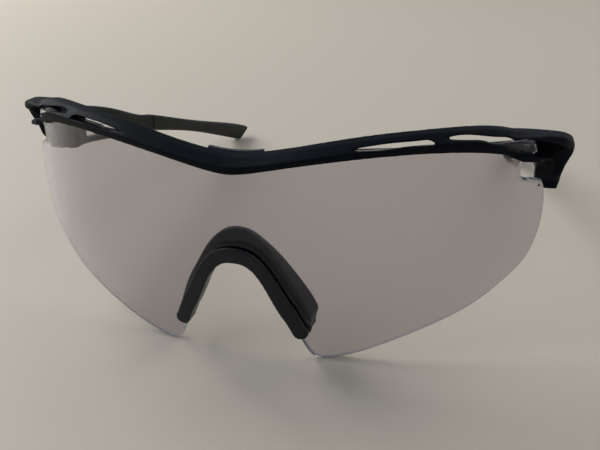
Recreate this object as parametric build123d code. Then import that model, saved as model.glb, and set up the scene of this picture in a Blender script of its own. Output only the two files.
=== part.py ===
"""Wraparound sport sunglasses: one shield lens under a half-rim, two folding temples.

Millimetres. X runs to the wearer's left, Y to the back, Z up. The glasses stand on
a table at Z = 0 on the two lens lobes and the two temple tips.
The +X side is modelled and the -X side is its mirror image.
"""
import math
import os

from build123d import *

# ---- shield surface --------------------------------------------------------
WRAP_R = 84.4          # wrap radius, about a vertical axis behind the lens
BARREL_R = 200.0       # up-and-down radius of the same surface
LEAN = 4.19            # degrees the top of the shield leans forward
Z_REF = 25.0           # height of the widest point of the barrel
LENS_T = 2.0           # lens thickness
GROOVE_GAP = 0.06      # lens to groove, each side
SHELL_LO, SHELL_HI = -20.0, 80.0
SHELL_SWEEP = 124.0    # degrees of wrap
IN_FRONT = 12.0        # offset clear of everything in front of the lens

# ---- whole object ----------------------------------------------------------
Y_CENTRE = 85.8        # middle of the bounding box along Y, moved to Y = 0
FAR = 200.0            # longer than any cut
Y_NEAR, Y_DEEP = -20.0, 60.0    # cuts through the front reach from here to here

# ---- brow rail: half-width station, bottom edge, top edge --------------------
RAIL_STATIONS = [
    (0.0, 45.7, 49.3),
    (8.0, 46.9, 50.1),
    (16.0, 48.4, 51.5),
    (25.0, 49.6, 53.0),
    (34.0, 50.2, 53.9),
    (44.0, 49.9, 54.2),
    (53.0, 48.2, 53.5),
    (61.0, 45.6, 51.4),
]
RIDGE = 0.52           # ridge height as a share of the rail height
RAIL_FRONT, RAIL_RIDGE, RAIL_BACK = 1.7, 2.8, -3.4
SLOT_DROP = 14.0       # degrees the vent slots fall towards the back
POCKET_TURN = 25.0     # degrees the hinge pocket runs inwards
POCKET_FROM, POCKET_TO = 16.0, 33.0

# ---- hinge -----------------------------------------------------------------
HINGE_X, HINGE_Y = 64.5, 41.0    # axis of the left hinge
EAR_R = 2.6
KNUCKLE_R = 2.5
LOW_EAR = (34.8, 37.6)
HIGH_EAR = (41.6, 44.9)
EAR_GAP = 0.05         # knuckle to ear, each side
SWING_GAP = 0.5        # end block to knuckle, on the radius
BLOCK_FRONT = 3.4      # start of the temple block behind the hinge axis
SCREW_R = 0.75
RUN_GAP = 0.05         # screw to bushing, on the radius
BUSH_R = 1.25
INSERT_R = 1.35
HEAD_R, HEAD_H = 1.45, 1.1
INSERT_H = 2.7
PRESS_GAP = 0.005      # pressed-in pieces, on the radius

# ---- nose piece ------------------------------------------------------------
CLIP_FRONT, CLIP_BACK = 1.0, -3.2
WIRE_R = 0.5
PAD_TOE_Z = 6.0        # height about which the pad's bands tip forward
PAD_PATH = [(0, 28.3), (4.4, 27.0), (7.0, 24.4), (9.5, 20.2), (12.1, 15.2), (14.0, 10.8),
            (14.6, 7.6)]
PAD_FLARE = [0.0, 0.25, 0.5, 0.78, 1.0, 1.0, 0.4]
PAD_SECTIONS = [
    # y, degrees tipped, lift of the arch, spread of the wings, thickness, more at the arch
    (3.0, 0.0, 3.9, 0.4, 2.4, 2.2),
    (8.0, 6.0, 3.3, 1.6, 2.2, 1.4),
    (12.0, 13.0, 1.6, 2.5, 1.8, 0.6),
]

# ---- temple: y, inner face x, width, bottom z, top z, roll in degrees --------
TEMPLE_STATIONS = [
    (44.4, 62.3, 6.1, 32.4, 44.4, 6.0),
    (49.5, 64.0, 4.9, 31.8, 43.3, 6.0),
    (60.0, 64.5, 3.6, 30.2, 40.9, 4.0),
    (75.0, 63.5, 3.4, 27.6, 35.8, 2.0),
    (92.0, 62.4, 3.4, 24.7, 30.3, 0.0),
    (110.0, 61.2, 3.8, 19.8, 24.6, -3.0),
    (130.0, 59.8, 4.1, 13.6, 18.3, -6.0),
    (150.0, 58.4, 4.3, 6.5, 12.4, -9.0),
    (166.0, 57.3, 4.4, 0.75, 7.5, -11.0),
    (178.0, 56.6, 4.4, -3.6, 3.3, -11.0),
]
SLEEVE_START = 92.0
TONGUE_END = 163.0
SLEEVE_WALL = 0.9
CORE_START, CORE_END = 98.0, 158.0
CORE_W, CORE_H = 0.9, 1.8


def symmetric(points):
    """Mirror a half outline that starts on the symmetry line."""
    return [(-x, z) for x, z in reversed(points[1:])] + points


def front_face(wires):
    """Flat face in the XZ plane, from edges drawn as (x, z)."""
    return Plane.XZ * make_face(wires)


def through(face, y_from, y_to):
    """Push an XZ face along Y from y_from to y_to."""
    return extrude(Pos(0, y_from, 0) * face, amount=y_to - y_from, dir=(0, 1, 0))


def box(x, y, z):
    """Box between pairs of limits."""
    size = (x[1] - x[0], y[1] - y[0], z[1] - z[0])
    middle = ((x[0] + x[1]) / 2, (y[0] + y[1]) / 2, (z[0] + z[1]) / 2)
    return Pos(*middle) * Box(*size)


def post(radius, z, x=HINGE_X, y=HINGE_Y):
    """Vertical cylinder between two heights, on the hinge axis by default."""
    return Pos(x, y, z[0]) * extrude(Circle(radius), amount=z[1] - z[0])


def mirrored(shape):
    """The same piece on the other side of the nose."""
    return mirror(shape, about=Plane.YZ)


def shell(front, back):
    """Barrel-shaped shell between two offsets from the lens front, forward positive."""
    def rim(offset):
        top = math.sqrt((BARREL_R + offset) ** 2 - (SHELL_HI - Z_REF) ** 2)
        low = math.sqrt((BARREL_R + offset) ** 2 - (SHELL_LO - Z_REF) ** 2)
        mid = WRAP_R - BARREL_R
        return (mid + low, SHELL_LO), (WRAP_R + offset, Z_REF), (mid + top, SHELL_HI)
    f_low, f_mid, f_top = rim(front)
    b_low, b_mid, b_top = rim(back)
    profile = make_face([
        ThreePointArc(f_low, f_mid, f_top),
        Line(f_top, b_top),
        ThreePointArc(b_top, b_mid, b_low),
        Line(b_low, f_low),
    ])
    axis = Axis((0, WRAP_R, 0), (0, 0, 1))
    plane = Plane(origin=(0, WRAP_R, 0), x_dir=(0, -1, 0), z_dir=(-1, 0, 0))
    solid = revolve(plane * profile, axis, SHELL_SWEEP)
    centred = solid.rotate(axis, -SHELL_SWEEP / 2)
    if centred.bounding_box().center().X < -1:
        centred = solid.rotate(axis, SHELL_SWEEP / 2)
    return centred.rotate(Axis((0, 0, Z_REF), (1, 0, 0)), LEAN)


def lens_outline():
    """Front view of the shield."""
    nose = [(0, 26.5), (4.2, 25.0), (6.3, 22.2), (8.4, 18.2), (10.9, 13.0),
            (13.0, 8.0), (14.3, 4.8), (15.9, 1.5)]
    lobe = [(18.8, 0), (25, 1.3), (38, 6.2), (50, 11.5), (57, 16.6), (61.3, 21.0),
            (63.4, 27.0), (63.9, 31.5), (63.7, 36.4)]
    top = [(56.0, 49.9), (50, 50.4), (44, 51.1), (34, 50.9), (25, 50.9), (16, 49.9),
           (8, 48.4), (0, 47.3)]
    half = [
        Spline(nose, tangents=[(1, 0), (0.6, -1)]),
        ThreePointArc(nose[-1], (16.95, 0.5), lobe[0]),
        Spline(lobe, tangents=[(1, 0), (-0.05, 1)]),
        ThreePointArc(lobe[-1], (62.7, 39.3), (60.3, 40.6)),
        Line((60.3, 40.6), (59.0, 40.9)),
        ThreePointArc((59.0, 40.9), (58.2, 41.3), (57.9, 42.2)),
        Line((57.9, 42.2), (57.9, 44.6)),
        ThreePointArc((57.9, 44.6), (58.4, 45.6), (59.4, 46.1)),
        Line((59.4, 46.1), (61.0, 46.9)),
        Line((61.0, 46.9), (60.4, 49.0)),
        Line((60.4, 49.0), top[0]),
        Spline(top, tangents=[(-1, 0.06), (-1, 0)]),
    ]
    both = half + [mirror(e, about=Plane.YZ) for e in half]
    face = make_face(both)
    return Plane.XZ * face


def lens_blank(grow=0.0, slack=0.0):
    """Lens solid; grow and slack widen it for cutting the groove."""
    plain = through(lens_outline(), Y_NEAR, Y_DEEP)
    block = plain
    if grow:
        for x, z in ((grow, 0), (-grow, 0), (0, grow), (0, -grow)):
            block += Pos(x, 0, z) * plain
    return block & shell(slack, -LENS_T - slack)


def rail_point(x, z, offset):
    """Point at half-width x and height z, offset forward of the lens front."""
    turn = math.asin(x / WRAP_R)
    rise = z - Z_REF
    sag = rise * rise / (2 * BARREL_R) - rise * math.tan(math.radians(LEAN))
    radius = WRAP_R + offset - math.cos(turn) * sag
    return (radius * math.sin(turn), WRAP_R - radius * math.cos(turn), z)


def rail_section(x, low, high):
    """Six-sided cross-section of the brow rail at half-width x."""
    ridge = low + RIDGE * (high - low)
    corners = [
        (RAIL_FRONT, low),
        (RAIL_RIDGE, ridge),
        (-0.2, high - 0.3),
        (-2.6, high),
        (RAIL_BACK, high - 0.8),
        (RAIL_BACK + 0.1, low + 0.3),
    ]
    points = [rail_point(x, z, off) for off, z in corners]
    return make_face(Polyline(*points, close=True))


def rail():
    """Gull-wing brow rail, one loft from end to end."""
    left = [rail_section(-x, lo, hi) for x, lo, hi in reversed(RAIL_STATIONS[1:])]
    right = [rail_section(x, lo, hi) for x, lo, hi in RAIL_STATIONS]
    return loft(left + right)


def slot_cut(points, y_from, y_to):
    """Vent slot outline pushed back while falling by SLOT_DROP."""
    face = Plane.XZ * make_face(Spline(points, periodic=True))
    fall = math.tan(math.radians(SLOT_DROP))
    reach = y_to - y_from
    start = Pos(0, y_from, 0) * face
    return extrude(start, amount=reach / math.cos(math.radians(SLOT_DROP)),
                   dir=(0, 1, -fall))


def inner_slot():
    """Narrow vent slot over the middle of the lens."""
    points = [(24.2, 52.1), (28.6, 53.2), (33.7, 54.2), (37.6, 54.8), (39.8, 54.8),
              (40.5, 54.3), (39.2, 53.9), (33.7, 53.1), (28.6, 52.2)]
    return slot_cut(points, 0, 26)


def outer_slot():
    """Wide vent slot between the strut and the hinge pocket."""
    points = [(42.3, 55.0), (43.9, 55.6), (49.4, 55.9), (53.0, 55.8), (55.4, 55.4),
              (56.0, 54.7), (53.5, 54.1), (49.4, 54.8), (44.2, 54.7)]
    return slot_cut(points, 2, 36)


def end_block():
    """Corner of the frame, from the rail round to the hinge."""
    outer = [(57.5, 19.3), (63.3, 24.4), (66.5, 28.0), (68.6, 31.9), (69.6, 36.0),
             (69.9, 40.0)]
    inner = [(61.9, 37.9), (60.2, 34.6), (57.5, 30.4), (55.0, 26.6), (51.5, 21.8)]
    plan = make_face([
        Spline(outer, tangents=[(1, 0.8), (0, 1)]),
        Line(outer[-1], (69.9, 44.2)),
        Line((69.9, 44.2), (61.9, 44.2)),
        Line((61.9, 44.2), inner[0]),
        Spline(inner, tangents=[(-0.1, -1), (-0.8, -1)]),
        Line(inner[-1], (51.5, 17.0)),
        Line((51.5, 17.0), outer[0]),
    ])
    top = [(57.5, 51.5), (62.0, 51.1), (65.4, 50.3), (67.6, 49.0), (69.0, 47.3),
           (69.5, 45.9)]
    side = [(69.5, 45.9), (69.1, 44.6), (68.3, 42.4), (67.6, 39.9), (67.0, 36.7),
            (66.7, 34.8)]
    view = front_face([
        Spline(top, tangents=[(1, -0.08), (0.1, -1)]),
        Spline(side),
        Line(side[-1], (61.4, 34.8)),
        Line((61.4, 34.8), (61.4, 42.6)),
        Line((61.4, 42.6), (57.5, 46.4)),
        Line((57.5, 46.4), (51.5, 49.2)),
        Line((51.5, 49.2), (51.5, 52.2)),
        Line((51.5, 52.2), top[0]),
    ])
    flank = make_face(Polyline((10, 46), (10, 60), (22, 52.7), (26, 51.8), (30, 50.8),
                               (34, 49.5), (38, 48.0), (44.2, 45.6), (46, 34.8),
                               (38.0, 34.8), (36.3, 37.0), (34.5, 39.3), (33.5, 41.0),
                               (31.5, 43.0), (28.0, 44.4), (20, 45.6), close=True))
    solid = extrude(plan, amount=60) & through(view, 10, 60)
    solid = solid & extrude(Plane.YZ * flank, amount=FAR)
    scoop = make_face(Polyline((10, 30), (10, 50), (26, 48.4), (30, 47.2), (32, 46.3),
                               (33.4, 44.6), (34.3, 41.5), (34.5, 39.3), (34.5, 30),
                               close=True))
    outside = make_face(Polyline((60.8, 20), (80, 20), (80, 35), (66.0, 35), close=True))
    solid -= extrude(Plane.YZ * scoop, amount=FAR) & extrude(outside, amount=60)
    hinge_zone = box((50, 67.4), (38.1, 60), (30, HIGH_EAR[1] - 0.1))
    return solid - hinge_zone


def ears():
    """Two hinge ears standing back from the end block."""
    out = None
    for low, high in (LOW_EAR, HIGH_EAR):
        root = box((HINGE_X - EAR_R, HINGE_X + EAR_R), (36.5, HINGE_Y), (low, high))
        ear = root + post(EAR_R, (low, high))
        out = ear if out is None else out + ear
    return out


def pocket():
    """Hollow in the end block, cut square to its slanting front, for the lens tab."""
    mouth = [(53.6, 50.6), (57.3, 51.0), (61.2, 50.0), (64.5, 48.5), (67.0, 46.7),
             (66.6, 45.2), (64.1, 44.9), (60.2, 46.9), (56.0, 48.4), (53.6, 49.3)]
    turn = math.radians(POCKET_TURN)
    slide = math.tan(turn)
    points = []
    for x, z in mouth:
        depth = rail_point(x, z, RAIL_FRONT)[1]
        points.append((x + (depth - POCKET_FROM) * slide, z))
    face = Pos(0, POCKET_FROM, 0) * front_face([Polyline(*points, close=True)])
    reach = (POCKET_TO - POCKET_FROM) / math.cos(turn)
    return extrude(face, amount=reach, dir=(-math.sin(turn), math.cos(turn), 0))


def behind_lens_room():
    """Space in front of the hook where the lens corner passes."""
    view = front_face([Polyline((50, 30), (64.5, 30), (64.5, 43.0), (61.6, 45.2),
                                (50, 48.0), close=True)])
    return through(view, 0, Y_DEEP) & shell(IN_FRONT, -LENS_T - 0.25)


def frame_side():
    """End block with ears, pocket and screw bores, wearer's left."""
    side = end_block() + ears()
    side -= behind_lens_room()
    side -= post(KNUCKLE_R + SWING_GAP, (LOW_EAR[1], HIGH_EAR[0]))
    side -= pocket()
    side -= post(HEAD_R + 0.05, (30, LOW_EAR[0] + HEAD_H))
    side -= post(SCREW_R + 0.02, (30, HIGH_EAR[0] + INSERT_H))
    side -= post(INSERT_R, (HIGH_EAR[0], HIGH_EAR[0] + INSERT_H))
    return side


def frame_front():
    """Half-rim frame with vent slots, hinge ears and the lens groove."""
    side = frame_side()
    body = rail() + side + mirrored(side)
    for cut in (inner_slot(), outer_slot(), pocket()):
        body = body - cut - mirrored(cut)
    return body - lens_blank(0.12, GROOVE_GAP)


def clip_outline():
    """Front view of the U-shaped nose clip."""
    outer = [(0, 28.7), (4.6, 27.3), (7.2, 24.7), (9.8, 20.4), (12.4, 15.4), (15.3, 9.3)]
    inner = [(0, 25.2), (3.6, 24.0), (6.0, 20.9), (7.9, 16.9), (10.3, 11.9), (12.4, 7.6)]
    half = [
        Spline(outer, tangents=[(1, 0), (0.42, -1)]),
        ThreePointArc(outer[-1], (14.7, 6.3), inner[-1]),
        Spline(inner, tangents=[(1, 0), (0.42, -1)]),
    ]
    return Plane.XZ * make_face(half + [mirror(e, about=Plane.YZ) for e in half])


def nose_clip():
    """Rigid clip that grips the nose edge of the lens."""
    body = through(clip_outline(), Y_NEAR, Y_DEEP) & shell(CLIP_FRONT, CLIP_BACK)
    return body - lens_blank(0.04, GROOVE_GAP)


def pad_band(y, tip, lift, spread, thick, arch_more):
    """U-shaped band at depth y, tipped forward at the arch, to loft the nose pad."""
    reach = len(PAD_PATH) - 1
    outer, inner = [], []
    for step, (x, z) in enumerate(PAD_PATH):
        share = step / reach
        out_x = x + spread * PAD_FLARE[step]
        out_z = z + lift * (1 - share)
        deep = thick + arch_more * max(0.0, 1 - 1.5 * share)
        lean = math.radians(90 - 64 * min(1.0, share * 1.7))
        outer.append((out_x, out_z))
        inner.append((out_x - deep * math.cos(lean), out_z - deep * math.sin(lean)))
    inner[0] = (0, inner[0][1])
    toe = ((outer[-1][0] + inner[-1][0]) / 2 + 0.2, (outer[-1][1] + inner[-1][1]) / 2 - 1.1)
    half = [
        Spline(outer, tangents=[(1, 0), (-0.2, -1)]),
        ThreePointArc(outer[-1], toe, inner[-1]),
        Spline(inner, tangents=[(1, 0), (-0.1, -1)]),
    ]
    face = Plane.XZ * make_face(half + [mirror(e, about=Plane.YZ) for e in half])
    return Pos(0, y, PAD_TOE_Z) * (Rot(tip, 0, 0) * (Pos(0, 0, -PAD_TOE_Z) * face))


def core_path():
    """Centre line of the bendable wire inside the nose pad."""
    points = [(0, 29.6), (4.5, 28.0), (7.3, 25.2), (10.1, 20.7), (12.9, 15.8), (14.5, 11.6)]
    line = Plane.XZ * Spline(symmetric(points))
    return Pos(0, 8, PAD_TOE_Z) * (Rot(6, 0, 0) * (Pos(0, 0, -PAD_TOE_Z) * line))


def nose_core(radius=WIRE_R):
    """Bendable wire moulded into the nose pad."""
    path = core_path()
    plane = Plane(origin=path @ 0, z_dir=path % 0)
    return sweep(plane * Circle(radius), path=path)


def nose_pad():
    """Soft saddle behind the lens, lofted from the clip back to the wings."""
    body = loft([pad_band(*row) for row in PAD_SECTIONS])
    return body - shell(IN_FRONT, CLIP_BACK - 0.05) - nose_core(WIRE_R + 0.02)


def brow_bumper():
    """Soft strip that keeps the brow off the rail at the centre."""
    view = front_face([
        ThreePointArc((-6.1, 49.8), (0, 49.3), (6.1, 49.8)),
        Line((6.1, 49.8), (6.1, 47.4)),
        ThreePointArc((6.1, 47.4), (5.6, 46.5), (4.7, 46.1)),
        Line((4.7, 46.1), (-4.7, 46.1)),
        ThreePointArc((-4.7, 46.1), (-5.6, 46.5), (-6.1, 47.4)),
        Line((-6.1, 47.4), (-6.1, 49.8)),
    ])
    return through(view, -10, 20) & shell(RAIL_BACK - 0.05, RAIL_BACK - 1.3)


def temple_section(row, wall=0.0):
    """Rounded cross-section of the temple, thinner by wall on every side."""
    y, inner_x, width, low, high, roll = row
    wide, tall = width - 2 * wall, high - low - 2 * wall
    shape = RectangleRounded(wide, tall, min(wide, tall) * 0.32)
    plane = Plane(origin=(inner_x + width / 2, y, (low + high) / 2),
                  x_dir=(math.cos(math.radians(roll)), 0, -math.sin(math.radians(roll))),
                  z_dir=(0, -1, 0))
    return plane * shape


def temple_at(y):
    """Temple station at any y, read between the listed ones."""
    for a, b in zip(TEMPLE_STATIONS, TEMPLE_STATIONS[1:]):
        if a[0] <= y <= b[0]:
            t = (y - a[0]) / (b[0] - a[0])
            return tuple(p + t * (q - p) for p, q in zip(a, b))
    raise ValueError(y)


def temple_loft(y_from, y_to, wall=0.0):
    """Loft of the temple between two depths."""
    inside = [r for r in TEMPLE_STATIONS if y_from < r[0] < y_to]
    rows = [temple_at(y_from)] + inside + [temple_at(y_to)]
    return loft([temple_section(r, wall) for r in rows])


def temple_window():
    """Long opening between the upper and lower bars of the temple."""
    lower, upper = 1.7, 2.9
    rows = [temple_at(y) for y in (51.5, 56.0, 61.0, 66.0, 71.0)]
    floor = [(r[0], r[3] + lower) for r in rows]
    roof = [(r[0], r[4] - upper) for r in rows]
    nose = ((floor[-1][0] + 2.2), (floor[-1][1] + roof[-1][1]) / 2 - 0.8)
    face = make_face([
        Spline(floor),
        ThreePointArc(floor[-1], nose, roof[-1]),
        Spline(list(reversed(roof))),
        Line(roof[0], floor[0]),
    ])
    return extrude(Plane.YZ * face, amount=FAR)


def temple_arm():
    """Nylon temple with its hinge knuckle and the tongue inside the rubber sleeve."""
    knuckle_z = (LOW_EAR[1] + EAR_GAP, HIGH_EAR[0] - EAR_GAP)
    arm = temple_loft(TEMPLE_STATIONS[0][0], SLEEVE_START)
    web = box((HINGE_X - KNUCKLE_R, HINGE_X + KNUCKLE_R),
              (HINGE_Y, HINGE_Y + BLOCK_FRONT + 1.5), knuckle_z)
    arm = arm + web + post(KNUCKLE_R, knuckle_z)
    arm = arm - temple_window()
    arm = arm + temple_loft(SLEEVE_START - 2, TONGUE_END, SLEEVE_WALL)
    arm = arm - post(BUSH_R, knuckle_z)
    return arm - temple_core(0.01)


def tip_cut():
    """Material past the slanted end of the temple tip."""
    low, high = (161.9, -3.1), (187.0, 11.9)
    face = make_face(Polyline(low, high, (190.0, 12.0), (190.0, -6.0), close=True))
    return extrude(Plane.YZ * face, amount=FAR)


def ear_sleeve():
    """Soft rubber sleeve over the back half of the temple."""
    body = temple_loft(SLEEVE_START + 0.05, TEMPLE_STATIONS[-1][0])
    body = body - temple_loft(SLEEVE_START - 1, TONGUE_END + 0.1, SLEEVE_WALL - 0.02)
    return body - tip_cut()


def temple_core(play=0.0):
    """Steel strip in the tongue, so the wearer can bend the tip."""
    sections = []
    for y in (CORE_START, 110.0, 130.0, 150.0, CORE_END):
        _, inner_x, width, low, high, _ = temple_at(y)
        plane = Plane(origin=(inner_x + width / 2, y, (low + high) / 2),
                      x_dir=(1, 0, 0), z_dir=(0, -1, 0))
        sections.append(plane * Rectangle(CORE_W + 2 * play, CORE_H + 2 * play))
    return loft(sections)


def hinge_screw():
    """Screw up through the lower ear and the temple knuckle into the insert."""
    base = LOW_EAR[0] + 0.1
    top = HIGH_EAR[0] + INSERT_H - 0.3
    screw = post(SCREW_R, (base, top)) + post(HEAD_R, (base, base + HEAD_H - 0.1))
    slot = box((HINGE_X - 2, HINGE_X + 2), (HINGE_Y - 0.2, HINGE_Y + 0.2),
               (base - 1, base + 0.45))
    return screw - slot


def hinge_insert():
    """Brass thread insert pressed into the upper ear."""
    z = (HIGH_EAR[0] + 0.02, HIGH_EAR[0] + INSERT_H - 0.1)
    bore = post(SCREW_R + PRESS_GAP, (z[0] - 1, z[1] + 1))
    return post(INSERT_R - PRESS_GAP, z) - bore


def hinge_bushing():
    """Nylon bushing pressed into the temple knuckle; it runs on the screw."""
    z = (LOW_EAR[1] + EAR_GAP, HIGH_EAR[0] - EAR_GAP)
    bore = post(SCREW_R + RUN_GAP, (z[0] - 1, z[1] + 1))
    return post(BUSH_R - PRESS_GAP, z) - bore


def save(shape, name):
    """Move a piece to the shared origin and write it."""
    export_step(Pos(0, -Y_CENTRE, 0) * shape, f"parts/{name}.step")


os.makedirs("parts", exist_ok=True)
single = {
    "frame_front": frame_front(),
    "shield_lens": lens_blank(),
    "nose_clip": nose_clip(),
    "nose_pad": nose_pad(),
    "nose_core": nose_core(),
    "brow_bumper": brow_bumper(),
}
paired = {
    "temple_arm": temple_arm(),
    "ear_sleeve": ear_sleeve(),
    "temple_core": temple_core(),
    "hinge_screw": hinge_screw(),
    "hinge_insert": hinge_insert(),
    "hinge_bushing": hinge_bushing(),
}
for name, shape in single.items():
    save(shape, name)
for name, shape in paired.items():
    save(shape, name + "_left")
    save(mirrored(shape), name + "_right")
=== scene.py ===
"""Looks of the wraparound sport sunglasses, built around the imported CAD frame."""

import math

import bpy
import numpy as np
from mathutils import Matrix, Vector
from mathutils.geometry import delaunay_2d_cdt


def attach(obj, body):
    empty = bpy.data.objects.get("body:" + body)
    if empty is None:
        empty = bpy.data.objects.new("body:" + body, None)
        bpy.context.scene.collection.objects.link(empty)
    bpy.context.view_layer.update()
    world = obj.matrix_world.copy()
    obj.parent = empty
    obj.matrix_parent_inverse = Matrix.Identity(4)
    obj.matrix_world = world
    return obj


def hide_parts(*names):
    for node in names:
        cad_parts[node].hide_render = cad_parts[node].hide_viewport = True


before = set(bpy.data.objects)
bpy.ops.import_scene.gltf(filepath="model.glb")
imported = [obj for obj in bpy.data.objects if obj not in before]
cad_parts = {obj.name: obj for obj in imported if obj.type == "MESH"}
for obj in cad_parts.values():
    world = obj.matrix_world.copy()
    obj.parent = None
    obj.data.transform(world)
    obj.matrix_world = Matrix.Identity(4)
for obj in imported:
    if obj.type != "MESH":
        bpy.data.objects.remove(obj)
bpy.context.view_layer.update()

MM = 0.001
Y_CENTRE = 85.8        # the CAD's own working Y at the middle of the object, in mm

# ---- shield surface, in mm, as the CAD draws it -----------------------------
WRAP_R = 84.4
BARREL_R = 200.0
LEAN = math.radians(4.19)
Z_REF = 25.0
LENS_T = 2.0
LENS_EDGE_R = 0.4
SURFACE_ROUNDS = 8     # repeats that settle a point on the leaning barrel

# ---- right half of the shield's outline, as (x, z) in mm ---------------------
NOSE = [(0, 26.5), (4.2, 25.0), (6.3, 22.2), (8.4, 18.2), (10.9, 13.0), (13.0, 8.0),
        (14.3, 4.8), (15.9, 1.5), (16.95, 0.5), (18.8, 0.0)]
LOBE = [(18.8, 0.0), (25, 1.3), (38, 6.2), (50, 11.5), (57, 16.6), (61.3, 21.0),
        (63.4, 27.0), (63.9, 31.5), (63.7, 36.4), (62.7, 39.3), (60.3, 40.6)]
NOTCH = [(60.3, 40.6), (59.0, 40.9), (58.2, 41.3), (57.9, 42.2)]
TAB = [(57.9, 44.6), (58.4, 45.6), (59.4, 46.1)]
TAB_LOW_CORNER = (61.0, 46.9)
TAB_HIGH_CORNER = (60.4, 49.0)
TOP = [(56.0, 49.9), (50, 50.4), (44, 51.1), (34, 50.9), (25, 50.9), (16, 49.9),
       (8, 48.4), (0, 47.3)]

# Directions of the outline where one of its curves starts or ends
AT_NOSE_TOP = (4, 1.2)
AT_LOWEST = (3, 0)
AT_TOP_MIDDLE = (-8, 0)

# ---- fineness of the shield's mesh, in mm ------------------------------------
NOSE_STEP = 0.45
LOBE_STEP = 0.7
CORNER_STEP = 0.35     # along the small curves of the notch and the tab
STRAIGHT_STEP = 0.5
TOP_STEP = 0.9
LENS_STEP = 1.1        # spacing of the points inside the lens
ROW_STEP = LENS_STEP * 0.87
RIM_CLEARANCE = 0.55 * LENS_STEP
CURVE_CUTS = 24        # cuts between two given points of a curve

# Degrees round the edge, from the front face to the back. The flat lies between the middle two.
EDGE_TURNS = (30, 60, 90, 90.1, 120, 150)
HALF_WAY = 90


# ---- small tools ------------------------------------------------------------
def scene_link(obj):
    """Put an object in the scene."""
    bpy.context.scene.collection.objects.link(obj)
    return obj


def mesh_object(name, points, faces, smooth=True):
    """Object from points in metres and faces."""
    mesh = bpy.data.meshes.new(name)
    mesh.from_pydata([tuple(p) for p in points], [], [list(map(int, f)) for f in faces])
    mesh.update()
    mesh.polygons.foreach_set("use_smooth", [smooth] * len(mesh.polygons))
    return scene_link(bpy.data.objects.new(name, mesh))


def applied(obj):
    """Bake the object's modifiers into its mesh."""
    depsgraph = bpy.context.evaluated_depsgraph_get()
    mesh = bpy.data.meshes.new_from_object(obj.evaluated_get(depsgraph))
    obj.modifiers.clear()
    obj.data = mesh
    mesh.polygons.foreach_set("use_smooth", [True] * len(mesh.polygons))
    return obj


def soften(obj, passes, group=""):
    """Smoothing modifier on the whole mesh, or weighted by a vertex group."""
    modifier = obj.modifiers.new("soften", "SMOOTH")
    modifier.factor = 0.5
    modifier.iterations = passes
    modifier.vertex_group = group


def moulded_copy(name, node, voxel_mm, passes, keep=1.0, round_zone=None):
    """Copy of a CAD node with its edges rounded off like a moulded piece.

    keep is the share of faces that stays after thinning out.
    round_zone is (function of a point giving 0 to 1, passes) for a rounder region.
    """
    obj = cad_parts[node].copy()
    obj.data = obj.data.copy()
    obj.name = name
    obj.parent = None
    scene_link(obj)
    remesh = obj.modifiers.new("even", "REMESH")
    remesh.mode = "VOXEL"
    remesh.voxel_size = voxel_mm * MM
    remesh.use_smooth_shade = True
    soften(obj, passes)
    applied(obj)
    if round_zone:
        weight, more_passes = round_zone
        group = obj.vertex_groups.new(name="round")
        for vertex in obj.data.vertices:
            group.add([vertex.index], weight(vertex.co), "REPLACE")
        soften(obj, more_passes, group.name)
    if keep < 1.0:
        lighten = obj.modifiers.new("lighten", "DECIMATE")
        lighten.ratio = keep
    if round_zone or keep < 1.0:
        applied(obj)
        obj.vertex_groups.clear()
    return obj


def dress(obj, material, body, slot, *nodes):
    """Material and body of one piece, with the CAD nodes it replaces hidden."""
    obj.data.materials.clear()
    obj.data.materials.append(material)
    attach(obj, body)
    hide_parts(*nodes)


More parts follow.
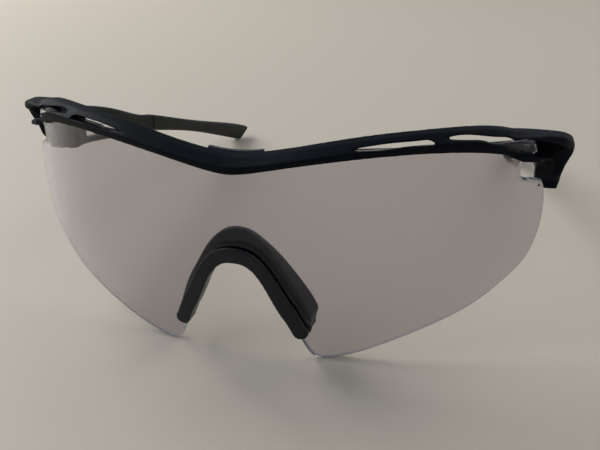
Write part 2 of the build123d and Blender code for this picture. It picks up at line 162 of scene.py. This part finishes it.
# ---- materials --------------------------------------------------------------
class Nodes:
    """Short names for building one node tree."""

    def __init__(self, name):
        self.material = bpy.data.materials.new(name)
        self.material.use_nodes = True
        self.tree = self.material.node_tree
        self.tree.nodes.clear()
        self.output = self.add("ShaderNodeOutputMaterial")
        self.coords = self.add("ShaderNodeTexCoord")

    def add(self, kind, **values):
        """Node of a kind; values set its inputs by name."""
        node = self.tree.nodes.new(kind)
        for key, value in values.items():
            node.inputs[key.replace("_", " ")].default_value = value
        return node

    def link(self, a, b):
        """Connect an output to an input."""
        self.tree.links.new(a, b)

    def noise(self, scale, detail=3.0, rough=0.5, stretch=None):
        """Noise over the object's own coordinates, in features per metre."""
        node = self.add("ShaderNodeTexNoise", Scale=scale, Detail=detail, Roughness=rough)
        if stretch:
            mapping = self.add("ShaderNodeMapping", Scale=stretch)
            self.link(self.coords.outputs["Object"], mapping.inputs["Vector"])
            self.link(mapping.outputs["Vector"], node.inputs["Vector"])
        else:
            self.link(self.coords.outputs["Object"], node.inputs["Vector"])
        return node.outputs["Fac"]

    def band(self, source, low, high, to_low, to_high):
        """Map a range of a value to another range."""
        node = self.add("ShaderNodeMapRange", From_Min=low, From_Max=high, To_Min=to_low,
                        To_Max=to_high)
        self.link(source, node.inputs["Value"])
        return node.outputs["Result"]

    def ramp(self, source, stops):
        """Colour ramp between two (place, colour) stops."""
        node = self.add("ShaderNodeValToRGB")
        for element, (place, colour) in zip(node.color_ramp.elements, stops):
            element.position = place
            element.color = (*colour, 1.0)
        self.link(source, node.inputs["Fac"])
        return node.outputs["Color"]

    def blend(self, amount, below, above):
        """Colour output mixed towards a plain colour by a 0 to 1 amount."""
        node = self.tree.nodes.new("ShaderNodeMix")
        node.data_type = "RGBA"
        self.link(amount, node.inputs["Factor"])
        self.link(below, node.inputs["A"])
        node.inputs["B"].default_value = (*above, 1.0)
        return node.outputs["Result"]

    def total(self, a, b):
        """Sum of two values."""
        node = self.tree.nodes.new("ShaderNodeMath")
        node.operation = "ADD"
        self.link(a, node.inputs[0])
        self.link(b, node.inputs[1])
        return node.outputs["Value"]

    def bump(self, layers):
        """Bump from (height, strength, distance in m) layers, coarse to fine."""
        normal = None
        for height, strength, distance in layers:
            node = self.add("ShaderNodeBump", Strength=strength, Distance=distance)
            self.link(height, node.inputs["Height"])
            if normal is not None:
                self.link(normal, node.inputs["Normal"])
            normal = node.outputs["Normal"]
        return normal

    def shaded_by(self, surface):
        """The material, with this surface as its output."""
        self.link(surface, self.output.inputs["Surface"])
        return self.material


# Fineness of the marks on the surfaces, in features per metre
PATCHES = 90.0
FLOW = 260.0
FLOW_STRETCH = (1.0, 0.35, 1.6)
DUST_SPECKS = 1900.0
NYLON_GRAIN = 5200.0
CLIP_GRAIN = 4800.0
ACETAL_GRAIN = 4000.0
RUBBER_GRAIN = 3800.0


def moulded_material(name, dark, light, rough, grain, grain_depth, gloss=0.3, sheen=0.0,
                     dust=0.0):
    """Injection-moulded surface: etched grain, patches of shine, flow marks, dull dust.

    The grain is finer than a tenth of a millimetre. Edges are rubbed slightly smoother.
    """
    n = Nodes(name)
    shader = n.add("ShaderNodeBsdfPrincipled", IOR=1.5, Specular_IOR_Level=gloss,
                   Sheen_Weight=sheen, Sheen_Roughness=0.5)
    patches = n.noise(PATCHES, 4.0, 0.6)
    flow = n.noise(FLOW, 3.0, 0.55, stretch=FLOW_STRETCH)
    fine = n.noise(grain, 2.0, 0.5)
    colour = n.ramp(patches, [(0.3, dark), (0.75, light)])
    if dust:
        specks = n.noise(DUST_SPECKS, 1.0, 0.4)
        pale = tuple(min(1.0, c + dust) for c in light)
        amount = n.band(specks, 0.66, 0.80, 0.0, 1.0)
        colour = n.blend(amount, colour, pale)
    n.link(colour, shader.inputs["Base Color"])
    sharpness = n.add("ShaderNodeNewGeometry").outputs["Pointiness"]
    rubbed = n.band(sharpness, 0.52, 0.60, 0.0, -0.10)
    shine = n.band(flow, 0.3, 0.7, rough - 0.06, rough + 0.07)
    n.link(n.total(shine, rubbed), shader.inputs["Roughness"])
    n.link(n.bump([(flow, 0.25, 0.08 * MM), (fine, 0.6, grain_depth)]),
           shader.inputs["Normal"])
    return n.shaded_by(shader.outputs["BSDF"])


TOOL_LINES = 1500.0
TOOL_LINE_STRETCH = (1.0, 1.0, 12.0)
TARNISH = 500.0


def metal_material(name, dark, light, rough):
    """Small turned or drawn metal part with fine tool lines."""
    n = Nodes(name)
    shader = n.add("ShaderNodeBsdfPrincipled", Metallic=1.0)
    lines = n.noise(TOOL_LINES, 2.0, 0.5, stretch=TOOL_LINE_STRETCH)
    patches = n.noise(TARNISH, 3.0, 0.6)
    n.link(n.ramp(patches, [(0.3, dark), (0.7, light)]), shader.inputs["Base Color"])
    n.link(n.band(lines, 0.3, 0.7, rough - 0.08, rough + 0.1), shader.inputs["Roughness"])
    n.link(n.bump([(lines, 0.3, 0.02 * MM)]), shader.inputs["Normal"])
    return n.shaded_by(shader.outputs["BSDF"])


LENS_TINT = (0.615, 0.59, 0.62, 1.0)
LENS_EDGE_TINT = (0.56, 0.58, 0.62, 1.0)
SMUDGES = 45.0
SMUDGE_STRETCH = (1.0, 1.0, 0.6)
LENS_WAVES = 30.0
CUTTER_MARKS = 6000.0


def lens_material():
    """Very light grey-mauve polycarbonate with a trace of smudging and a tinted shadow."""
    n = Nodes("polycarbonate")
    shader = n.add("ShaderNodeBsdfPrincipled", IOR=1.34, Base_Color=LENS_TINT,
                   Transmission_Weight=1.0)
    smudge = n.noise(SMUDGES, 4.0, 0.6, stretch=SMUDGE_STRETCH)
    n.link(n.band(smudge, 0.5, 0.8, 0.0, 0.02), shader.inputs["Roughness"])
    wave = n.noise(LENS_WAVES, 1.0, 0.4)
    n.link(n.bump([(wave, 0.12, 0.03 * MM)]), shader.inputs["Normal"])
    clear = n.add("ShaderNodeBsdfTransparent", Color=LENS_TINT)
    path = n.add("ShaderNodeLightPath")
    mix = n.add("ShaderNodeMixShader")
    n.link(path.outputs["Is Shadow Ray"], mix.inputs["Fac"])
    n.link(shader.outputs["BSDF"], mix.inputs[1])
    n.link(clear.outputs["BSDF"], mix.inputs[2])
    return n.shaded_by(mix.outputs["Shader"])


def lens_edge_material():
    """Machined edge of the shield: the same plastic, greyer, with fine cutter marks."""
    n = Nodes("polycarbonate_edge")
    shader = n.add("ShaderNodeBsdfPrincipled", IOR=1.4, Base_Color=LENS_EDGE_TINT,
                   Transmission_Weight=0.75)
    marks = n.noise(CUTTER_MARKS, 1.0, 0.5)
    n.link(n.band(marks, 0.3, 0.7, 0.20, 0.26), shader.inputs["Roughness"])
    n.link(n.bump([(marks, 0.05, 0.01 * MM)]), shader.inputs["Normal"])
    return n.shaded_by(shader.outputs["BSDF"])


def floor_material():
    """Plain pale floor."""
    n = Nodes("floor_pale")
    shader = n.add("ShaderNodeBsdfPrincipled", Roughness=0.55,
                   Base_Color=(0.755, 0.655, 0.535, 1.0))
    return n.shaded_by(shader.outputs["BSDF"])


# ---- the shield lens ---------------------------------------------------------
def even_steps(points, step):
    """Same line, cut into even steps, both ends kept."""
    runs = np.r_[0, np.cumsum(np.linalg.norm(np.diff(points, axis=0), axis=1))]
    count = max(1, round(runs[-1] / step))
    at = np.linspace(0, runs[-1], count + 1)
    return np.c_[np.interp(at, runs, points[:, 0]), np.interp(at, runs, points[:, 1])]


def straight(start, end, step):
    """Points at an even step from one place to another."""
    return even_steps(np.array([start, end]), step)


def curve_through(points, step, start=None, end=None):
    """Points at an even step along a centripetal spline through the given ones.

    start and end are the directions there, where the given points don't set them.
    """
    p = np.array(points, float)
    before = p[0] - (np.array(start, float) if start else p[1] - p[0])
    after = p[-1] + (np.array(end, float) if end else p[-1] - p[-2])
    p = np.vstack([before, p, after])
    out = []
    for a, b, c, d in zip(p, p[1:], p[2:], p[3:]):
        t1 = np.linalg.norm(b - a) ** 0.5
        t2 = t1 + np.linalg.norm(c - b) ** 0.5
        t3 = t2 + np.linalg.norm(d - c) ** 0.5
        for t in np.linspace(t1, t2, CURVE_CUTS, endpoint=False):
            a1 = (t1 - t) / t1 * a + t / t1 * b
            a2 = (t2 - t) / (t2 - t1) * b + (t - t1) / (t2 - t1) * c
            a3 = (t3 - t) / (t3 - t2) * c + (t - t2) / (t3 - t2) * d
            b1 = (t2 - t) / t2 * a1 + t / t2 * a2
            b2 = (t3 - t) / (t3 - t1) * a2 + (t - t1) / (t3 - t1) * a3
            out.append((t2 - t) / (t2 - t1) * b1 + (t - t1) / (t2 - t1) * b2)
    out.append(p[-2])
    return even_steps(np.array(out), step)


def lens_outline():
    """Closed outline of the shield seen from the front, in mm, counter-clockwise."""
    parts = [
        curve_through(NOSE, NOSE_STEP, start=AT_NOSE_TOP, end=AT_LOWEST),
        curve_through(LOBE, LOBE_STEP, start=AT_LOWEST),
        curve_through(NOTCH, CORNER_STEP),
        straight(NOTCH[-1], TAB[0], STRAIGHT_STEP),
        curve_through(TAB, CORNER_STEP),
        straight(TAB[-1], TAB_LOW_CORNER, STRAIGHT_STEP),
        straight(TAB_LOW_CORNER, TAB_HIGH_CORNER, STRAIGHT_STEP),
        straight(TAB_HIGH_CORNER, TOP[0], LOBE_STEP),
        curve_through(TOP, TOP_STEP, end=AT_TOP_MIDDLE),
    ]
    half = np.vstack([part[:-1] for part in parts])
    mirrored = half[1:] * (-1, 1)
    return np.vstack([half, [TOP[-1]], mirrored[::-1]])


def inset(outline, distance):
    """Outline moved inwards by a small distance."""
    ahead = np.roll(outline, -1, axis=0)
    behind = np.roll(outline, 1, axis=0)
    along = ahead - behind
    along /= np.linalg.norm(along, axis=1)[:, None]
    return outline + distance * np.c_[-along[:, 1], along[:, 0]]


def on_shield(points, offset):
    """Points (x, z) in mm put on the shield surface, as (x, y, z) in metres."""
    x, z = points[:, 0], points[:, 1]
    y = np.zeros(len(x))
    for _ in range(SURFACE_ROUNDS):
        rise = (z - Z_REF - y * math.sin(LEAN)) / math.cos(LEAN)
        radius = WRAP_R - BARREL_R + np.sqrt((BARREL_R + offset) ** 2 - rise ** 2)
        y = WRAP_R - np.sqrt(radius ** 2 - x ** 2)
    deep = y * math.cos(LEAN) - rise * math.sin(LEAN)
    return np.c_[x, deep - Y_CENTRE, z] * MM


def inside_points(outline, clear):
    """Even triangular grid of points inside the outline, clear of its edge."""
    low, high = outline.min(0), outline.max(0)
    rows = []
    for row, z in enumerate(np.arange(low[1], high[1], ROW_STEP)):
        start = low[0] + (row % 2) * LENS_STEP / 2
        rows += [(x, z) for x in np.arange(start, high[0], LENS_STEP)]
    grid = np.array(rows)
    crossings = np.zeros(len(grid), int)
    nearest = np.full(len(grid), np.inf)
    for (ax, az), (bx, bz) in zip(outline, np.roll(outline, -1, axis=0)):
        if az != bz:
            hit = (az > grid[:, 1]) != (bz > grid[:, 1])
            cut = ax + (grid[:, 1] - az) * (bx - ax) / (bz - az)
            crossings += hit & (grid[:, 0] < cut)
        nearest = np.minimum(nearest, np.hypot(grid[:, 0] - ax, grid[:, 1] - az))
    return grid[(crossings % 2 == 1) & (nearest > clear)]


def lens_face(outline):
    """Flat mesh of one face of the shield: points, triangles, and its rim in order."""
    only_inside, same_point = 1, 1e-6
    rim = inset(outline, LENS_EDGE_R)
    ring = [(i, (i + 1) % len(rim)) for i in range(len(rim))]
    loose = [Vector(p) for p in np.vstack([rim, inside_points(rim, RIM_CLEARANCE)])]
    points, _, faces, origin, _, _ = delaunay_2d_cdt(loose, ring, [], only_inside, same_point)
    place = {}
    for new, olds in enumerate(origin):
        for old in olds:
            place[old] = new
    return np.array([tuple(p) for p in points]), faces, [place[i] for i in range(len(rim))]


def lens_edge(outline):
    """Rings of points round the rounded edge of the shield, from front to back."""
    rings = []
    for degrees in EDGE_TURNS:
        turn = math.radians(degrees)
        out = LENS_EDGE_R * (1 - math.sin(min(turn, math.pi - turn)))
        drop = LENS_EDGE_R * (1 - abs(math.cos(turn)))
        depth = -drop if degrees <= HALF_WAY else -LENS_T + drop
        rings.append(on_shield(inset(outline, out), depth))
    return rings


def lens():
    """Shield with slightly rounded edges, and a mark for each of its faces.

    The mark is 1 on the edge and 0 elsewhere.
    """
    outline = lens_outline()
    flat, triangles, rim = lens_face(outline)
    rings = lens_edge(outline)
    points = np.vstack([on_shield(flat, 0.0), on_shield(flat, -LENS_T), *rings])
    faces = [tuple(f) for f in triangles]
    faces += [tuple(i + len(flat) for i in reversed(f)) for f in triangles]
    on_edge = [0] * len(faces)
    loops = [rim]
    for number in range(len(rings)):
        first = 2 * len(flat) + number * len(outline)
        loops.append(range(first, first + len(outline)))
    loops.append([i + len(flat) for i in rim])
    for upper, lower in zip(loops, loops[1:]):
        for i in range(len(outline)):
            j = (i + 1) % len(outline)
            faces.append((upper[i], lower[i], lower[j], upper[j]))
            on_edge.append(1)
    return mesh_object("lens_shield", points, faces), on_edge


# ---- rounder regions, in mm ----------------------------------------------------
# A region starts at its X or Z and reaches its full roundness one FADE further on.
CORNER_X = 57.0
CORNER_FADE = 5.0
ROOF_X = 53.0
ROOF_FADE_X = 3.0
ROOF_Z = 49.6
ROOF_FADE_Z = 1.2
CORNER_PASSES = 45
WING_Z = 15.0          # counted downwards, towards the wing tips
WING_FADE = 5.0
WING_LEAST = 0.15      # roundness of the rest of the pad
WING_PASSES = 24


def block_corner(point):
    """1 on the outer corners of the frame and where the rail runs into them."""
    x, z = abs(point.x) / MM, point.z / MM
    corner = (x - CORNER_X) / CORNER_FADE
    roof = min(1.0, (z - ROOF_Z) / ROOF_FADE_Z, (x - ROOF_X) / ROOF_FADE_X)
    return min(1.0, max(0.0, corner, roof))


def pad_wing(point):
    """1 on the tips of the nose pad wings, fading to a small share up the pad."""
    return min(1.0, max(WING_LEAST, (WING_Z - point.z / MM) / WING_FADE))


# ---- build -------------------------------------------------------------------
nylon = moulded_material("nylon_black", (0.0058, 0.0074, 0.0108), (0.0098, 0.0124, 0.0176),
                         rough=0.50, grain=NYLON_GRAIN, grain_depth=0.03 * MM, gloss=0.03)
nylon_temple = moulded_material("nylon_temple", (0.010, 0.0105, 0.011), (0.017, 0.018, 0.018),
                                rough=0.48, grain=NYLON_GRAIN, grain_depth=0.03 * MM,
                                gloss=0.15)
clip_black = moulded_material("nylon_clip", (0.013, 0.0155, 0.020), (0.019, 0.0225, 0.029),
                              rough=0.36, grain=CLIP_GRAIN, grain_depth=0.02 * MM, gloss=0.25)
pad_rubber = moulded_material("rubber_pad", (0.020, 0.023, 0.031), (0.030, 0.035, 0.046),
                              rough=0.52, grain=RUBBER_GRAIN, grain_depth=0.04 * MM,
                              sheen=0.06, dust=0.01)
tip_rubber = moulded_material("rubber_tip", (0.006, 0.0065, 0.0065), (0.010, 0.0105, 0.010),
                              rough=0.6, grain=RUBBER_GRAIN, grain_depth=0.05 * MM,
                              gloss=0.2, sheen=0.05, dust=0.008)
acetal = moulded_material("acetal_bushing", (0.05, 0.05, 0.05), (0.07, 0.07, 0.07),
                          rough=0.4, grain=ACETAL_GRAIN, grain_depth=0.02 * MM)
steel = metal_material("screw_steel", (0.42, 0.42, 0.43), (0.55, 0.55, 0.56), rough=0.3)
brass = metal_material("insert_brass", (0.62, 0.47, 0.22), (0.74, 0.58, 0.30), rough=0.32)

shield, on_edge = lens()
dress(shield, lens_material(), "front", "lens", "shield_lens")
shield.data.materials.append(lens_edge_material())
shield.data.polygons.foreach_set("material_index", on_edge)

brow_frame = moulded_copy("brow_frame", "frame_front", voxel_mm=0.22, passes=9, keep=0.6,
                          round_zone=(block_corner, CORNER_PASSES))
dress(brow_frame, nylon, "front", "frame", "frame_front")
nose_clip_rim = moulded_copy("nose_clip_rim", "nose_clip", voxel_mm=0.2, passes=6)
dress(nose_clip_rim, clip_black, "front", "clip", "nose_clip")
nose_saddle = moulded_copy("nose_saddle", "nose_pad", voxel_mm=0.2, passes=12, keep=0.6,
                           round_zone=(pad_wing, WING_PASSES))
dress(nose_saddle, pad_rubber, "front", "pad", "nose_pad")
brow_strip = moulded_copy("brow_strip", "brow_bumper", voxel_mm=0.15, passes=6)
dress(brow_strip, pad_rubber, "front", "pad", "brow_bumper")

for side in ("left", "right"):
    body = "temple_" + side
    arm = moulded_copy(body + "_arm", "temple_arm_" + side, voxel_mm=0.3, passes=6)
    dress(arm, nylon_temple, body, "temple", "temple_arm_" + side)
    tip = moulded_copy(body + "_tip", "ear_sleeve_" + side, voxel_mm=0.3, passes=6)
    dress(tip, tip_rubber, body, "sleeve", "ear_sleeve_" + side)

# The wires and the small parts of the hinges keep the CAD's own shapes.
HARDWARE = (("nose_core", steel), ("temple_core", steel), ("hinge_screw", steel),
            ("hinge_insert", brass), ("hinge_bushing", acetal))
for start, material in HARDWARE:
    for name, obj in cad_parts.items():
        if name.startswith(start):
            obj.data.materials.clear()
            obj.data.materials.append(material)

# ---- floor, light, camera -----------------------------------------------------
FLOOR_HALF = 4.0
SKY_TINT = (0.84, 0.91, 1.0, 1.0)
SKY_BRIGHT_SIDE = (0.25, 0.95, -0.15)
SKY_DIM = 0.12
SKY_BRIGHT = 0.46


def studio_sky():
    """World light: cool, and brightest behind the object."""
    world = bpy.data.worlds.new("studio")
    bpy.context.scene.world = world
    world.use_nodes = True
    tree = world.node_tree
    background = tree.nodes["Background"]
    background.inputs["Color"].default_value = SKY_TINT
    coords = tree.nodes.new("ShaderNodeTexCoord")
    towards = tree.nodes.new("ShaderNodeVectorMath")
    towards.operation = "DOT_PRODUCT"
    towards.inputs[1].default_value = SKY_BRIGHT_SIDE
    spread = tree.nodes.new("ShaderNodeMapRange")
    spread.inputs["From Min"].default_value = -0.5
    spread.inputs["From Max"].default_value = 1.0
    spread.inputs["To Min"].default_value = SKY_DIM
    spread.inputs["To Max"].default_value = SKY_BRIGHT
    tree.links.new(coords.outputs["Generated"], towards.inputs[0])
    tree.links.new(towards.outputs["Value"], spread.inputs["Value"])
    tree.links.new(spread.outputs["Result"], background.inputs["Strength"])


def softbox(name, place, aim, size, power, colour):
    """Square area light at a place, aimed at a point."""
    data = bpy.data.lights.new(name, "AREA")
    data.shape = "SQUARE"
    data.size = size
    data.energy = power
    data.color = colour
    obj = scene_link(bpy.data.objects.new(name, data))
    obj.location = place
    obj.rotation_euler = (Vector(aim) - Vector(place)).to_track_quat("-Z", "Y").to_euler()


floor_corners = [(-FLOOR_HALF, -FLOOR_HALF, 0), (FLOOR_HALF, -FLOOR_HALF, 0),
                 (FLOOR_HALF, FLOOR_HALF, 0), (-FLOOR_HALF, FLOOR_HALF, 0)]
floor = mesh_object("floor", floor_corners, [(0, 1, 2, 3)], smooth=False)
floor.data.materials.append(floor_material())

studio_sky()
softbox("window", (-1.15, 0.45, 0.75), aim=(0, 0, 0), size=0.9, power=12.5,
        colour=(0.98, 0.99, 1.0))
softbox("fill", (0.7, 0.9, 0.9), aim=(0, 0, 0.02), size=0.9, power=2.5,
        colour=(1.0, 0.97, 0.94))
softbox("overhead", (-0.6, -0.45, 0.75), aim=(0, -0.08, 0.02), size=0.6, power=1.8,
        colour=(0.72, 0.86, 1.0))

CAMERA_PLACE = (50.71, -133.16 - Y_CENTRE, 94.75)      # in mm
CAMERA_DOWN = math.radians(23.27)
CAMERA_TURN = math.radians(15.09)
CAMERA_ROLL = math.radians(-0.19)
camera_data = bpy.data.cameras.new("camera")
camera_data.sensor_width = 36.0
camera_data.lens = 43.8
camera_data.clip_start = 0.01
camera = scene_link(bpy.data.objects.new("camera", camera_data))
camera.matrix_world = (
    Matrix.Translation(Vector(CAMERA_PLACE) * MM)
    @ Matrix.Rotation(CAMERA_TURN, 4, "Z")
    @ Matrix.Rotation(math.pi / 2 - CAMERA_DOWN, 4, "X")
    @ Matrix.Rotation(CAMERA_ROLL, 4, "Z")
)
bpy.context.scene.camera = camera
bpy.context.scene.view_settings.view_transform = "Standard"
